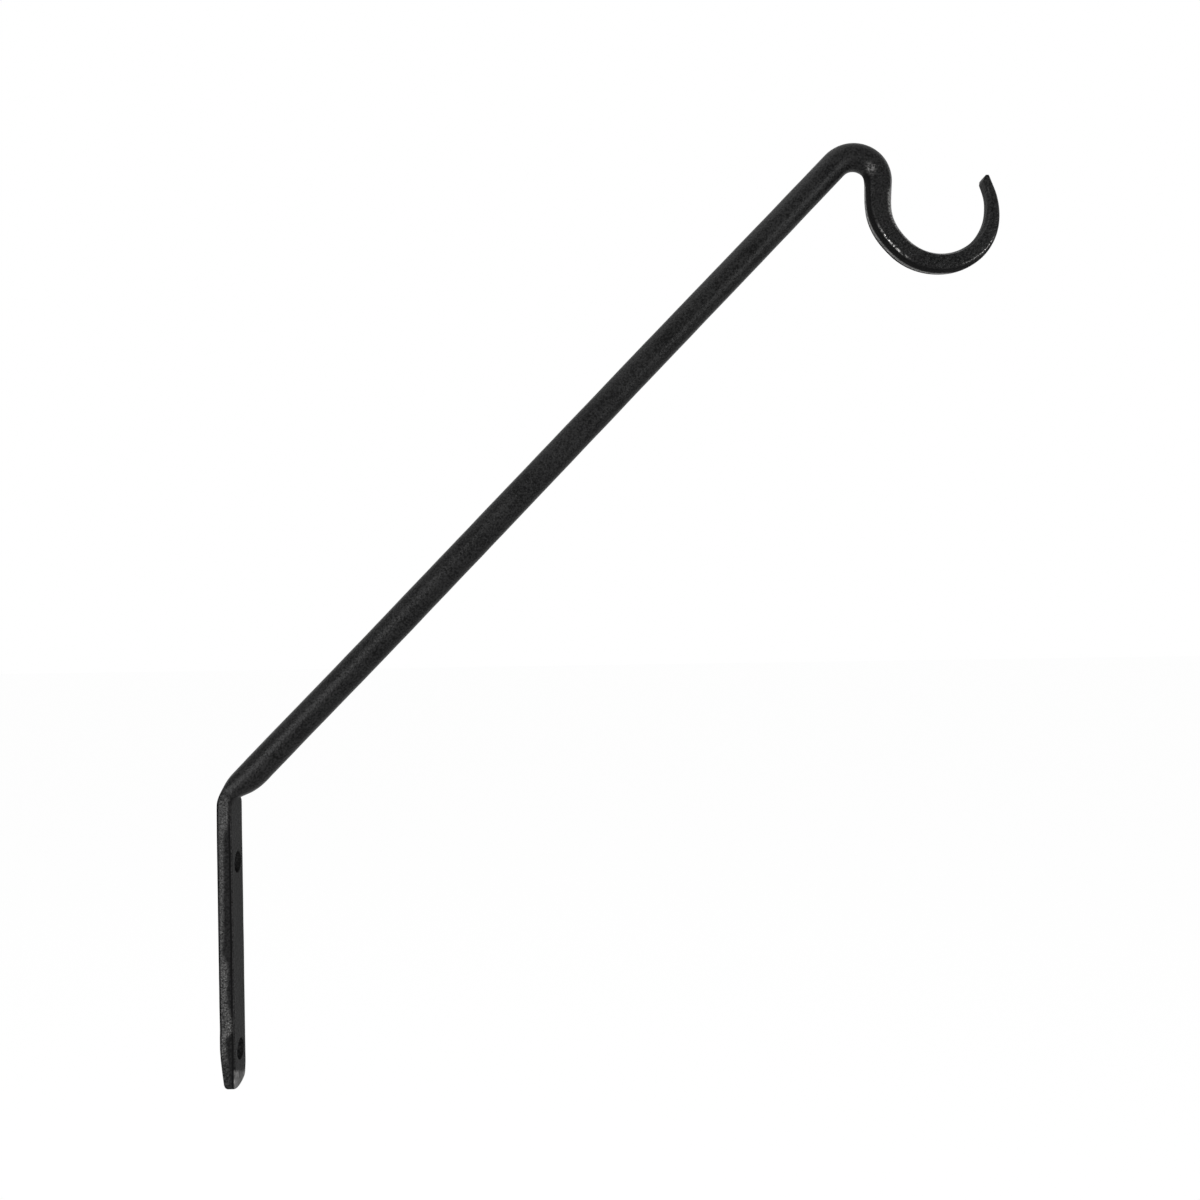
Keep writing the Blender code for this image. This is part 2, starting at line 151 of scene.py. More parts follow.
# %% Thickness, width and edges at the stations
STRAP_THICK = 0.0065
STRAP_WIDTH = 0.016
BAR_AT_FOOT = 0.0121
BAR_AT_TOP = 0.0120
SHOULDER_START, SHOULDER_END, SHOULDER_WIDTH = 0.0010, 0.0085, 0.0132
FLARE_LENGTH = 0.0110
ARM_LOW, ARM_MIDDLE, ARM_HIGH = 0.036, 0.090, 0.240
flare_end = starts["arm"] + FLARE_LENGTH
bowl_start = starts["bowl"]

# depth and width of the back edge and its roundness, size of the front edge, crown
STRAP_EDGES = (0.0008, 0.0008, 1.0, 0.0011, 0.0)
HOOK_EDGES = (0.0012, 0.0025, 0.1, 0.0009, 0.0012)
TIP_EDGES = (0.0008, 0.0008, 1.0, 0.0008, 0.0006)

# distance along the bar, how far it stands proud of the line, thickness, width, flatness, edges
stations = np.array(
    [
        (0.0, 0.0, STRAP_THICK, STRAP_WIDTH, 1.0, *STRAP_EDGES),
        (starts["foot"] + SHOULDER_START, 0.0, STRAP_THICK, STRAP_WIDTH, 1.0, *STRAP_EDGES),
        (starts["foot"] + SHOULDER_END, 0.0005, BAR_AT_FOOT, SHOULDER_WIDTH, 0.3, *STRAP_EDGES),
        (flare_end, 0.0007, 0.0128, 0.0126, 0.0, *STRAP_EDGES),
        (starts["arm"] + ARM_LOW, 0.0005, 0.0127, 0.0126, 0.0, *STRAP_EDGES),
        (starts["arm"] + ARM_MIDDLE, 0.0003, 0.0128, 0.0126, 0.0, *STRAP_EDGES),
        (starts["arm"] + ARM_HIGH, 0.0003, 0.0125, 0.0123, 0.0, *HOOK_EDGES),
        (starts["top"], 0.0, 0.0120, BAR_AT_TOP, 0.0, *HOOK_EDGES),
        (starts["top"] + TOP_RADIUS * math.pi / 2, 0.0, 0.0116, BAR_AT_TOP, 0.0, *HOOK_EDGES),
        (bowl_start - NECK_LENGTH / 3, -0.0009, 0.0105, 0.0115, 0.9, *HOOK_EDGES),
        (bowl_start + BOWL_RADIUS * math.radians(45), 0.0012, 0.0084, 0.0115, 0.9, *HOOK_EDGES),
        (bowl_start + BOWL_RADIUS * math.radians(90), 0.0016, 0.0080, 0.0105, 0.9, *HOOK_EDGES),
        (bowl_start + BOWL_RADIUS * math.radians(130), 0.0016, 0.0080, 0.0105, 0.9, *HOOK_EDGES),
        (bowl_start + BOWL_RADIUS * math.pi, 0.0013, 0.0056, 0.0091, 0.7, *HOOK_EDGES),
        (bar_length, 0.0, 0.0037, 0.0078, 0.8, *TIP_EDGES),
    ]
)
print("stations", len(stations))


# %% Easing between stations
def eased(at, places, values):
    """Values between stations on a smooth curve that never overshoots them."""
    slopes = np.diff(values) / np.diff(places)
    tangents = np.zeros(len(values))
    same_way = slopes[:-1] * slopes[1:] > 0
    total = np.where(same_way, slopes[:-1] + slopes[1:], 1.0)
    tangents[1:-1] = np.where(same_way, 2 * slopes[:-1] * slopes[1:] / total, 0.0)
    k = np.clip(np.searchsorted(places, at) - 1, 0, len(slopes) - 1)
    gap = places[k + 1] - places[k]
    t = np.clip((at - places[k]) / gap, 0, 1)
    rise = (3 - 2 * t) * t * t
    blend = values[k] * (1 - rise) + values[k + 1] * rise
    return blend + gap * (tangents[k] * t * (1 - t) ** 2 - tangents[k + 1] * (1 - t) * t * t)


halfway_up = starts["arm"] + arm_length / 2
print("arm thickness", round(float(eased(halfway_up, stations[:, 0], stations[:, 2])), 5))

# %% Rows along the bar
ROW_STEP = {
    "strap": 0.0009,
    "foot": 0.0007,
    "arm": 0.0019,
    "top": 0.0008,
    "neck": 0.0007,
    "bowl": 0.0007,
    "tip": 0.0004,
}
FLARE_STEP, PAST_FLARE = 0.0009, 0.003
CLOSE_ROWS = np.array([0.0, 0.0003, 0.0006, 0.0010])

pieces_of_line = []
for name, (length, _) in STRETCHES.items():
    count = max(2, round(length / ROW_STEP[name]))
    pieces_of_line.append(starts[name] + np.linspace(0, length, count + 1)[:-1])
flare_rows = np.arange(starts["arm"], flare_end + PAST_FLARE, FLARE_STEP)
more_rows = [CLOSE_ROWS, flare_rows, bar_length - CLOSE_ROWS]
rows = np.unique(np.round(np.concatenate(pieces_of_line + more_rows), 5))
proud, thick, wide, flat, back_deep, back_wide, back_round, front_edge, crown = (
    eased(rows, stations[:, 0], column) for column in stations.T[1:]
)
print("rows", len(rows))

# %% [markdown]
# ## The foot
# Where the strap ends, the bar swells back to round within a finger's width. Its wall side
# bends smoothly, but in front the strap's plane runs straight up into a crease. Sculpting could
# shape it, but would lose the crispness of the crease. So the thickness there is measured twice,
# up to the strap's front plane and to the swelling underside, and the larger one wins. The round
# underside meets the plane lowest in its middle, so the crease arches up towards both sides.

# %% Thickness over the foot
CREASE_RISE, CREASE_ARCH = 0.0027, 0.0015
FLARE_SWELL = 0.0014


def crease_height(place_across):
    """Height of the crease, which arches up towards the strap's sides."""
    arch = CREASE_ARCH * (place_across / (STRAP_WIDTH / 2)) ** 2
    return follow([starts["foot"]])[1][0] + CREASE_RISE + arch


def foot_thickness(distances, place_across):
    """Thickness at the foot, from the wall side to the strap's front or the arm's underside."""
    x, z, heading = follow(distances)
    normal_x, normal_z = np.sin(heading), -np.cos(heading)
    crease_z = crease_height(place_across)
    full_x, full_z, full_heading = (value[0] for value in follow([flare_end]))
    run_x = full_x + BAR_AT_FOOT * math.sin(full_heading) - STRAP_THICK
    run_z = full_z - BAR_AT_FOOT * math.cos(full_heading) - crease_z
    to_strap = (STRAP_THICK - x) / normal_x
    divider = normal_x * run_z - normal_z * run_x
    to_under = ((STRAP_THICK - x) * run_z - (crease_z - z) * run_x) / divider
    share = np.clip((x + to_under * normal_x - STRAP_THICK) / run_x, 0, 1)
    return np.maximum(to_strap, to_under + FLARE_SWELL * np.sin(math.pi * share))


at_foot = (rows > starts["foot"]) & (rows < flare_end)
thick[at_foot] = foot_thickness(rows[at_foot], 0.0) + proud[at_foot]
print("thickest at the foot", round(float(thick[at_foot].max()), 5))

# %% One quarter of a flat section
FACE_STEPS = 9
EDGE_STEPS = 6


def quarter(half_thick, half_wide, edge_deep, edge_wide, roundness):
    """One quarter of every flat section, from the middle of its face past an edge to its side."""
    run = np.linspace(0, 1, FACE_STEPS + 1)
    step = np.linspace(0, 1, EDGE_STEPS + 1)[1:-1]
    inner_thick, inner_wide = (half_thick - edge_deep)[:, None], (half_wide - edge_wide)[:, None]
    roundness = roundness[:, None]
    deep = roundness * np.cos(step * math.pi / 2) + (1 - roundness) * (1 - step)
    side = roundness * np.sin(step * math.pi / 2) + (1 - roundness) * step
    depth = [half_thick[:, None] + 0 * run, inner_thick + edge_deep[:, None] * deep]
    across = [inner_wide * run, inner_wide + edge_wide[:, None] * side]
    depth.append(inner_thick * (1 - run))
    across.append(half_wide[:, None] + 0 * run)
    return np.concatenate(depth, axis=1), np.concatenate(across, axis=1)


print("steps on half a face", FACE_STEPS, "and round an edge", EDGE_STEPS)

# %% Points round each section
# for each quarter: to the front or back, to the far or near side, and the way it is walked
QUARTERS = ((1, 1, 1), (-1, 1, -1), (-1, -1, 1), (1, -1, -1))


def sections():
    """Depth from the back line and place across the bar, for every row and point round it."""
    body = thick - crown * flat
    front = quarter(body / 2, wide / 2, front_edge, front_edge, np.ones_like(body))
    back = quarter(body / 2, wide / 2, back_deep, back_wide, back_round)
    angle = np.linspace(0, math.pi / 2, front[0].shape[1])
    oval = (np.cos(angle) * thick[:, None] / 2, np.sin(angle) * wide[:, None] / 2)
    flatness = flat[:, None]
    depths, acrosses = [], []
    for depth_sign, across_sign, step in QUARTERS:
        shape = front if depth_sign > 0 else back
        flat_depth, flat_across = shape[0][:, ::step], shape[1][:, ::step]
        round_depth, round_across = oval[0][:, ::step], oval[1][:, ::step]
        lift = crown[:, None] * np.clip(1 - (flat_across / (wide[:, None] / 2)) ** 2, 0, 1)
        lift = lift * (depth_sign > 0)
        depth = flatness * (depth_sign * flat_depth + body[:, None] / 2 + lift)
        depth = depth + (1 - flatness) * (depth_sign * round_depth + thick[:, None] / 2)
        across = across_sign * (flatness * flat_across + (1 - flatness) * round_across)
        depths.append(depth[:, :-1])
        acrosses.append(across[:, :-1])
    return np.concatenate(depths, axis=1), np.concatenate(acrosses, axis=1)


depth, across = sections()
own_thickness = foot_thickness(rows[at_foot][:, None], across[at_foot]) + proud[at_foot][:, None]
depth[at_foot] *= own_thickness / thick[at_foot][:, None]
print("points round the bar", depth.shape[1])

# %% [markdown]
# ## The strap's struck sides
# The smith squares the strap's sides with blows that lean a little to one side or the other, so
# two rows of flat places meet in a low ridge that wanders up the strap. Bumps in the coat could
# hint at them, but only real facets catch the light as the strap turns. The ridge's place is
# given at a few heights, and both rows fall away from it like a very shallow roof. Between one
# blow and the next the row sinks a little, as a slightly domed hammer leaves it.

# %% Where the two ridges wander
# distance from the strap's end, and how far towards the front the ridge stands there
near_ridge = np.array(
    [
        (0.000, 0.60), (0.010, 0.55), (0.014, 0.45), (0.021, 0.38), (0.0245, 0.85),
        (0.031, 0.74), (0.037, 0.50), (0.042, 0.52), (0.050, 0.62), (0.054, 0.46),
        (0.058, 0.22), (0.063, 0.34), (0.075, 0.38), (0.086, 0.42), (0.100, 0.43),
        (0.107, 0.46), (0.112, 0.78), (0.126, 0.84),
    ]
)
far_ridge = np.array(
    [
        (0.000, 0.50), (0.012, 0.70), (0.026, 0.35), (0.041, 0.75), (0.057, 0.45),
        (0.070, 0.25), (0.084, 0.65), (0.099, 0.50), (0.112, 0.30), (0.126, 0.60),
    ]
)
print("ridge points", len(near_ridge), "and", len(far_ridge))

# %% Two leaning rows of blows
SIDE_FALL = math.tan(math.radians(8.5))
BLOW_PITCH = 0.016
BLOW_DISH = 0.00016
RIDGE_SOFTNESS = 0.00004


def pressed_side(ridge):
    """How far one side of the strap lies inside its full width, at every point."""
    share = eased(rows, ridge[:, 0], ridge[:, 1])
    away = np.abs(depth - STRAP_THICK * share[:, None])
    roof = np.sqrt(away**2 + RIDGE_SOFTNESS**2) * SIDE_FALL
    behind = depth < STRAP_THICK * share[:, None]
    shift = np.where(behind, 0.0, BLOW_PITCH / 2)
    dish = BLOW_DISH * np.abs(np.sin(math.pi * (rows[:, None] + shift) / BLOW_PITCH))
    return roof + dish


blows_reach = starts["arm"] + FLARE_LENGTH / 2
blows = np.clip((blows_reach - rows) / FLARE_LENGTH, 0, 1)[:, None]
limit = wide[:, None] / 2 - pressed_side(near_ridge) * blows
across = np.where(across < 0, np.maximum(across, -limit), across)
limit = wide[:, None] / 2 - pressed_side(far_ridge) * blows
across = np.where(across > 0, np.minimum(across, limit), across)
print("widest place", round(float(across.max() - across.min()), 5))

# %% [markdown]
# ## The two ends of the bar
# The end of the strap bows out a little in its middle. It is drawn thinner on its wall side,
# filed off in front and rounded at its corners. The hook's tip has both corners of its slanting
# end rounded off. A bevel would round every edge alike, so the points of the last rows are moved
# instead, by amounts that fade out along the bar.

# %% Taper, filed front and rounded corners of the strap's end
END_BOW = 0.0016
TAPER_LENGTH, TAPER_DEPTH = 0.0170, 0.0017
FILED_LENGTH, FILED_DEPTH = 0.0070, 0.0005
END_EASE = 1.5
ROUND_LENGTH, ROUND_BACK, ROUND_FRONT, ROUND_SIDE = 0.0020, 0.0012, 0.0004, 0.0004


def rounding(to_end, length):
    """How far a rounded corner has turned in: 0 where it begins, 1 at the end of the bar."""
    return 1 - np.sqrt(1 - np.clip(1 - to_end / length, 0, 1) ** 2)


turn = rounding(rows, ROUND_LENGTH)
taper = TAPER_DEPTH * np.clip(1 - rows / TAPER_LENGTH, 0, 1) ** END_EASE + ROUND_BACK * turn
filed = FILED_DEPTH * np.clip(1 - rows / FILED_LENGTH, 0, 1) ** END_EASE + ROUND_FRONT * turn
middle = STRAP_THICK / 2
share = np.clip(np.abs(depth - middle) / middle, 0, 1)
at_end = (rows < TAPER_LENGTH)[:, None]
moved = np.where(depth < middle, depth + taper[:, None] * share, depth - filed[:, None] * share)
depth = np.where(at_end, moved, depth)
across = across * (1 - ROUND_SIDE * turn / (STRAP_WIDTH / 2))[:, None]
close_to_end = np.clip(1 - rows / TAPER_LENGTH, 0, 1)[:, None] ** 2
bow = END_BOW * close_to_end * np.clip(1 - (across / (STRAP_WIDTH / 2)) ** 2, 0, 1)
print("strap thickness at its end", round(float(np.ptp(depth[0])), 5))

# %% Rounded corners of the tip
TIP_ROUND_LENGTH, TIP_ROUND_OUTER, TIP_ROUND_INNER = 0.0010, 0.0010, 0.0005

turn = rounding(bar_length - rows, TIP_ROUND_LENGTH)[:, None]
share = 2 * depth / thick[:, None] - 1
depth = depth - turn * np.where(share > 0, TIP_ROUND_OUTER, TIP_ROUND_INNER) * share
print("tip thickness", round(float(np.ptp(depth[-1])), 5))

# %% [markdown]
# ## Unevenness of worked iron
# Hot iron never comes off the anvil dead straight or round. A displacement modifier would swell
# the bar as well as dent it. Here slow waves, a tenth of a millimetre deep, are pressed into the
# bar, and always inwards, so that the bracket keeps its size.

# %% Where every point lies
x, z, heading = follow(rows)


def placed(off_line, along):
    """Places of points that stand this far off the line and this far along it."""
    off_x, off_z = off_line * np.sin(heading)[:, None], off_line * np.cos(heading)[:, None]
    along_x, along_z = along * np.cos(heading)[:, None], along * np.sin(heading)[:, None]
    return x[:, None] + off_x + along_x, z[:, None] - off_z + along_z


out_x, out_z = placed(depth - proud[:, None], 0.0)
print("furthest from the wall", round(float(out_x.max()), 4))

# %% Slow waves in the surface
WAVE_LENGTH = 0.011
WAVE_DEPTH = 0.00012
WAVE_SEED = 3.0
WAVES_ON_WALL_SIDE = 0.15


def waves(length, seed):
    """Smooth noise from 0 to 1 at every point of the surface."""
    shift = Vector((seed, 2 * seed, 3 * seed))
    flat_points = zip(out_x.ravel() / length, across.ravel() / length, out_z.ravel() / length)
    values = [noise.noise(Vector(point) + shift) for point in flat_points]
    return np.clip(0.5 + 0.5 * np.array(values), 0, 1).reshape(out_x.shape)


centre = (thick / 2)[:, None]
radius = np.sqrt((depth - centre) ** 2 + across**2)
wall_side = (rows < starts["foot"])[:, None] & (depth < centre)
wave_share = np.where(wall_side, WAVES_ON_WALL_SIDE, 1.0)
pressed = WAVE_DEPTH * waves(WAVE_LENGTH, WAVE_SEED) * wave_share
depth = centre + (depth - centre) * (1 - pressed / radius)
across = across * (1 - pressed / radius)
print("deepest wave", round(float(pressed.max()), 6))

# %% [markdown]
# ## Where the finish differs, and where light and shade are painted
# The coat isn't the same all over. It lies coarser on hammered iron than on the smooth bar. It
# dried dull on the strap's front, on the row of blows beside it, on the outside of the hook and
# inside its rising end. Painted shade darkens the outside of the hook, the edges of the strap's
# sides and, a little, the row of blows beside its front. Painted sheen in the colour of bare iron
# lightens the row of blows towards the wall, the edges of the strap's front and the hook's inner
# bevel, and a painted reflection lies in a stripe along the hook's outside. Painted glints sit on
# two corners of the bowl and on a spot at the top bend. The strap's end was filed. An image could
# hold all this, but it would have to be wrapped round the bar. Values written on the mesh need no
# wrapping. Each kind of place gets one, and the coat reads it.

# %% Ways to say where on the bar a point is
row_at = rows[:, None] + 0 * depth
depth_share = depth / thick[:, None]
towards_far_side = across / (wide[:, None] / 2)
sideways = np.abs(towards_far_side)
bowl_turn = np.degrees((row_at - bowl_start) / BOWL_RADIUS)
strap_ridge = np.where(
    across < 0,
    eased(rows, near_ridge[:, 0], near_ridge[:, 1])[:, None],
    eased(rows, far_ridge[:, 0], far_ridge[:, 1])[:, None],
)


def between(value, low, high, soft):
    """One between two places, fading to zero over a soft distance on both sides."""
    return np.clip((value - low) / soft + 1, 0, 1) * np.clip((high - value) / soft + 1, 0, 1)


def beyond(value, limit, soft):
    """Zero up to a limit, then rising to one over a soft distance."""
    return np.clip((value - limit) / soft, 0, 1)


print("the bowl and the tip span", round(float(bowl_turn.max())), "degrees")

# %% Mark the struck places
# here and below, a pair is a limit and the distance over which a mark fades in beyond it
STRUCK_STRAP, STRUCK_HOOK, STRUCK_ARM = 0.8, 1.0, 0.2
HOOK_LEAD, HOOK_FADE = 0.008, 0.010
SIDE_REACH, SIDE_REACH_FADE = 0.006, 0.004
STRAP_SIDE = (0.86, 0.06)

on_hook = between(row_at, starts["neck"] - HOOK_LEAD, bar_length, HOOK_FADE)
struck = STRUCK_ARM + (STRUCK_HOOK - STRUCK_ARM) * on_hook
strap_side = between(row_at, 0.0, starts["foot"] + SIDE_REACH, SIDE_REACH_FADE)
strap_side = strap_side * beyond(sideways, *STRAP_SIDE)
struck = np.maximum(struck, STRUCK_STRAP * strap_side)
print("struck on average", round(float(struck.mean()), 3))

# %% The stripe of painted reflection along the outside of the hook
STRIPE_NEAR, STRIPE_FAR = (-0.22, 0.10), (0.15, 0.12)
STRIPE_LEAD, STRIPE_TURN, STRIPE_FADE = 0.002, math.radians(98), 0.003

stripe = beyond(towards_far_side, *STRIPE_NEAR) * (1 - beyond(towards_far_side, *STRIPE_FAR))
stripe_end = bowl_start + BOWL_RADIUS * STRIPE_TURN
stripe = stripe * between(row_at, starts["neck"] + STRIPE_LEAD, stripe_end, STRIPE_FADE)
print("points under the stripe", int((stripe > 0.5).sum()))

# %% Mark the dull places of the hook, and its painted shade
FULL_SHADE = 2.0
HOOK_OUTSIDE, HOOK_INSIDE = (0.86, 0.05), (0.12, 0.04)
OUTSIDE_LEAD, OUTSIDE_FADE = 0.009, 0.007
LIMB_FROM, LIMB_FADE = 125, 12

hook_rows = between(row_at, starts["neck"] - OUTSIDE_LEAD, bar_length, OUTSIDE_FADE)
hook_outside = beyond(depth_share, *HOOK_OUTSIDE) * hook_rows
limb_rows = between(bowl_turn, LIMB_FROM, bowl_turn.max(), LIMB_FADE)
limb_inside = (1 - beyond(depth_share, *HOOK_INSIDE)) * limb_rows
# values past one also darken the coat: full painted shade on the hook's outside, off the stripe
dull_and_shade = np.maximum(FULL_SHADE * hook_outside * (1 - stripe), limb_inside)
print("dull points of the hook", int((dull_and_shade > 0.5).sum()))

# %% Mark the dull places of the strap, and its painted shade
CREASE_SHADE, CREASE_FADE = 0.0015, 0.0010
FRONT_PLANE = (STRAP_THICK - 0.0007, 0.0002)
STRAP_REACH, STRAP_FADE = 0.003, 0.003
CORNER_DEPTH, CORNER_SIDE, CORNER_END = (0.72, 0.05), (0.85, 0.04), (0.89, 0.03)
BACK_DEPTH, BACK_SIDE = (0.0006, 0.0003), (0.84, 0.03)
PAST_RIDGE, FRONT_ROW_DULL_AND_SHADE = 0.12, 1.3

below_crease = beyond(crease_height(across) + CREASE_SHADE, out_z, CREASE_FADE)
strap_front = beyond(out_x, *FRONT_PLANE) * below_crease
strap_rows = between(row_at, 0.0, starts["foot"] + STRAP_REACH, STRAP_FADE)
before_front = 1 - beyond(depth_share, *CORNER_END)
front_corner = beyond(depth_share, *CORNER_DEPTH) * beyond(sideways, *CORNER_SIDE) * before_front
back_corner = (1 - beyond(depth, *BACK_DEPTH)) * beyond(sideways, *BACK_SIDE)
front_row = beyond(depth_share, strap_ridge, PAST_RIDGE) * strap_side * before_front
dull_and_shade = np.maximum(dull_and_shade, strap_front)
# painted shade, full along the edges where the strap's sides meet its front and its back
dull_and_shade = np.maximum(dull_and_shade, FULL_SHADE * strap_rows * np.maximum(front_corner, back_corner))
# the row of blows beside the front is dull, with a little painted shade
dull_and_shade = np.maximum(dull_and_shade, FRONT_ROW_DULL_AND_SHADE * front_row)
print("dull points in all", int((dull_and_shade > 0.5).sum()))

# %% Paint sheen on the strap, in the colour of bare iron
LOW_ROW_SHEEN, HIGH_ROW_SHEEN, EDGE_SHEEN = 0.18, 0.115, 0.05
LOW_UP_TO, HIGH_FROM = 0.045, 0.085
BEFORE_RIDGE, RIDGE_FADE = 0.08, 0.20
CLEAR_OF_END = (0.0095, 0.004)
ROW_REACH, ROW_FADE = 0.004, 0.003
FRONT_EDGES = (0.70, 0.10)

off_end = beyond(row_at, *CLEAR_OF_END)
back_row = strap_side * (1 - beyond(depth_share, strap_ridge - BEFORE_RIDGE, RIDGE_FADE))
back_row = back_row * (1 - back_corner) * off_end
back_row = back_row * (1 - beyond(row_at, starts["foot"] + ROW_REACH, ROW_FADE))
# painted highlight on the row of blows towards the wall
row_sheen = np.interp(rows, (LOW_UP_TO, HIGH_FROM), (LOW_ROW_SHEEN, HIGH_ROW_SHEEN))[:, None]
strap_edge = strap_front * strap_rows * beyond(sideways, *FRONT_EDGES) * off_end
# and a weak painted highlight along the outer edges of the strap's front
painted_sheen = np.maximum(row_sheen * back_row, EDGE_SHEEN * strap_edge)
print("scuffed on average", round(float(painted_sheen.mean()), 4))

# %% Paint sheen on the hook's inner bevel and along its stripe
BEVEL_SHEEN, STRIPE_SHEEN = 0.55, 0.55
BEVEL_DEPTH, BEVEL_SIDE = (0.19, 0.03), (0.56, 0.05)
BEVEL_LEAD, BEVEL_TURN, BEVEL_FADE = 0.005, math.radians(52), 0.003
STRIPE_DEPTH = (0.80, 0.05)

# painted highlight on the inner bevel of the neck and the start of the bowl
inner_bevel = BEVEL_SHEEN * (1 - beyond(depth_share, *BEVEL_DEPTH))
inner_bevel = inner_bevel * beyond(-towards_far_side, *BEVEL_SIDE)
bevel_end = bowl_start + BOWL_RADIUS * BEVEL_TURN
inner_bevel = inner_bevel * between(row_at, starts["neck"] + BEVEL_LEAD, bevel_end, BEVEL_FADE)
painted_sheen = np.maximum(painted_sheen, inner_bevel)
# painted reflection, in bare iron colour, along the stripe on the hook's outside
painted_sheen = np.maximum(painted_sheen, STRIPE_SHEEN * stripe * beyond(depth_share, *STRIPE_DEPTH))
print("scuffed with the hook", round(float(painted_sheen.mean()), 4))

# %% Mark the filed end of the strap
FILED_MIDDLE, FILED_LEAN, FILED_FADE = 0.0050, 0.38, 0.0010
FILED_FACE, FILED_SIDES = (0.86, 0.06), (0.2, 0.4)
FILED_AT_CENTRE = 0.6

above_end = row_at - bow
filed_height = FILED_MIDDLE - FILED_LEAN * across - above_end
filed_share = beyond(filed_height, 0.0, FILED_FADE) * beyond(depth_share, *FILED_FACE)
towards_sides = beyond(sideways, *FILED_SIDES)
filed_share = filed_share * (FILED_AT_CENTRE + (1 - FILED_AT_CENTRE) * towards_sides)
print("filed points", int((filed_share > 0.5).sum()))

# %% Paint glints on two corners of the bowl and on the top bend
# how strong each painted glint is, the corner's limits in depth and to the side, and the turn of
# the bowl
GLINT_CORNERS = (
    (1.0, (0.80, 0.03), (0.86, 0.04), (32, 46, 16)),
    (0.9, (0.79, 0.02), (0.90, 0.03), (120, 148, 10)),
)
# a painted highlight spot on the top bend
BRIGHT_SPOT = (0.2805, -0.0055, 0.3308)
SPOT_SIZE, SPOT_GAIN, SPOT_GLINT = 0.0032, 1.5, 0.22

painted_glint = 0 * depth
for strength, corner_depth, corner_side, corner_turn in GLINT_CORNERS:
    corner = beyond(depth_share, *corner_depth) * beyond(sideways, *corner_side)
    painted_glint = np.maximum(painted_glint, strength * corner * between(bowl_turn, *corner_turn))
from_spot = np.sqrt(
    (out_x - BRIGHT_SPOT[0]) ** 2 + (across - BRIGHT_SPOT[1]) ** 2 + (out_z - BRIGHT_SPOT[2]) ** 2
)
spot = np.clip(SPOT_GAIN * (1 - from_spot / SPOT_SIZE), 0, 1)
painted_glint = np.maximum(painted_glint, SPOT_GLINT * spot)
marks = {
    "struck": struck,
    "dull_and_shade": dull_and_shade,
    "painted_sheen": painted_sheen,
    "filed": filed_share,
    "painted_glint": painted_glint,
}
for name, value in marks.items():
    print(name, "at most", round(float(value.max()), 3))

# %% [markdown]
# ## The surface of the forging
# A real forging has one skin without a seam. The rows are now placed on the line and joined ring
# to ring into one closed mesh. The hook's end leans: its rows slide along the bar, more at the
# outside, as the slanting cut does.

# %% Points of the skin
TIP_SLANT = math.tan(math.radians(31.0))

into_tip = np.clip((rows - starts["tip"]) / TIP_LENGTH, 0, 1)[:, None]
off_line = depth - proud[:, None]
out_x, out_z = placed(off_line, TIP_SLANT * into_tip * off_line - bow)
points = np.stack([out_x, across, out_z], axis=2)
print("rows and points round them", points.shape[:2])

# %% Broken edge of the tip
TIP_EDGE_BREAK = 0.0004

last_loop = points[-1]
tip_middle = last_loop.mean(axis=0)
tip_way = (last_loop - points[-2]).mean(axis=0)
tip_way = tip_way / np.linalg.norm(tip_way)
to_middle = tip_middle - last_loop
to_middle = to_middle / np.linalg.norm(to_middle, axis=1)[:, None]
cap_loop = last_loop + (to_middle + tip_way) * TIP_EDGE_BREAK
all_points = np.concatenate([points.reshape(-1, 3), cap_loop])
print("points in all", len(all_points))

# %% Faces of the skin
around = points.shape[1]
row_count = len(rows) + 1
first = np.arange(around)
after = (first + 1) % around
skin = []
for row in range(row_count - 1):
    low, high = row * around, (row + 1) * around
    skin += np.stack([low + first, high + first, high + after, low + after], axis=1).tolist()

# the strap's end is closed with narrow faces from front to back, because it bows
last_strip = FACE_STEPS + EDGE_STEPS - 1
half = around // 2
for side in (1, -1):
    for k in range(last_strip):
        skin.append([side * corner % around for corner in (k, k + 1, half - k - 1, half - k)])
    skin.append([side * corner % around for corner in range(last_strip, half - last_strip + 1)])
skin.append(list(range((row_count - 1) * around, row_count * around))[::-1])
print("faces", len(skin))

# %% Mesh with its marks
mesh = bpy.data.meshes.new("bracket_forging")
mesh.from_pydata(all_points.tolist(), [], skin)
for name, value in marks.items():
    value = np.concatenate([value.ravel(), value[-1]])
    mesh.attributes.new(name, "FLOAT", "POINT").data.foreach_set("value", value.astype(np.float32))
forging = bpy.data.objects.new("bracket_forging", mesh)
bpy.context.scene.collection.objects.link(forging)

work = bmesh.new()
work.from_mesh(mesh)
bmesh.ops.recalc_face_normals(work, faces=work.faces)
work.to_mesh(mesh)
work.free()
print("marks on the mesh", list(marks))

# %% [markdown]
# ## The screw holes
# Two plain holes are drilled through the strap, and the drill's edge leaves a slight break at
# each mouth. They could be left open while the skin is joined, but its rows would have to bend
# round them. A turned drill shape is subtracted instead, which keeps each hole round and its
# mouth crisp.

# %% Shape of the drill
HOLE_RADIUS = 0.0045
MOUTH_BREAK = 0.0002
OVERRUN = 0.003
DRILL_SIDES = 72
HOLE_HEIGHTS = (-HOLE_SPACING / 2, HOLE_SPACING / 2)


